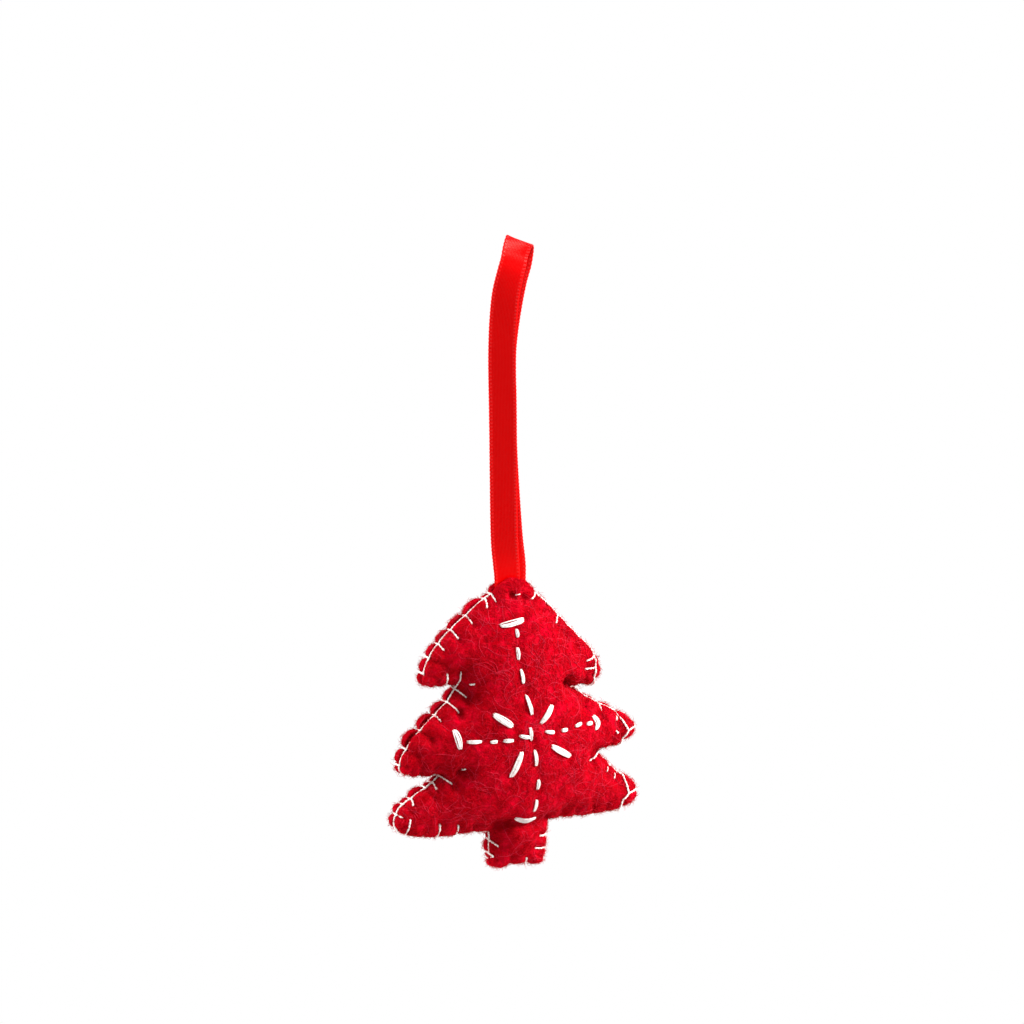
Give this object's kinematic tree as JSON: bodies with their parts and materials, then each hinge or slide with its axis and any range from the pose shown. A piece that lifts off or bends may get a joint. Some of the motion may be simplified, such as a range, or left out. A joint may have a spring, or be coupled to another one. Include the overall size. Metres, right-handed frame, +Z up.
{
  "type": "felt tree ornament",
  "caption": "Stuffed red felt fir-tree ornament with blanket-stitched edges and an embroidered starburst, hung on a red satin ribbon loop.",
  "frame": {"origin": "inside of the ribbon loop's fold, where a hook, a nail or a twig carries the ornament", "axes": "+Z up along the hanging ribbon, +X to the tree's right as its embroidered face is seen, -Y out of the embroidered face"},
  "size_m": [0.0599, 0.0192, 0.139],
  "materials": {
    "felt": "matt, fuzzy pressed wool felt in crimson",
    "ribbon": "satin ribbon in scarlet with picot edges",
    "thread": "ivory stranded cotton floss, soft sheen",
    "stuffing": "white polyester fibrefill"
  },
  "bodies": {
    "ribbon_fold": {"ribbon_fold": "ribbon"},
    "ribbon_legs": {"ribbon_front_leg": "ribbon", "ribbon_back_leg": "ribbon"},
    "tree": {"front_panel": "felt", "back_panel": "felt", "stuffing": "stuffing", "edge_thread": "thread", "upper_arm_floss": "thread", "lower_arm_floss": "thread", "left_arm_floss": "thread", "right_arm_floss": "thread", "centre_floss": "thread", "upper_bar_floss": "thread", "lower_bar_floss": "thread", "left_bar_floss": "thread", "right_bar_floss": "thread", "upper_left_petal_floss": "thread", "upper_right_petal_floss": "thread", "lower_right_petal_floss": "thread", "lower_left_petal_floss": "thread", "tack_stitch": "thread", "ribbon_front_tail": "ribbon", "ribbon_back_tail": "ribbon"}
  },
  "joints": [
    {"name": "ribbon_twist", "type": "hinge", "parent": "ribbon_fold", "child": "ribbon_legs", "pos_m": [-0.0022, 0, -0.022], "axis": [0, 0, 1], "range_deg": [-90, 90]},
    {"name": "tree_swing", "type": "hinge", "parent": "ribbon_legs", "child": "tree", "pos_m": [-0.0022, 0, -0.0728], "axis": [1, 0, 0], "range_deg": [-80, 80]}
  ]
}
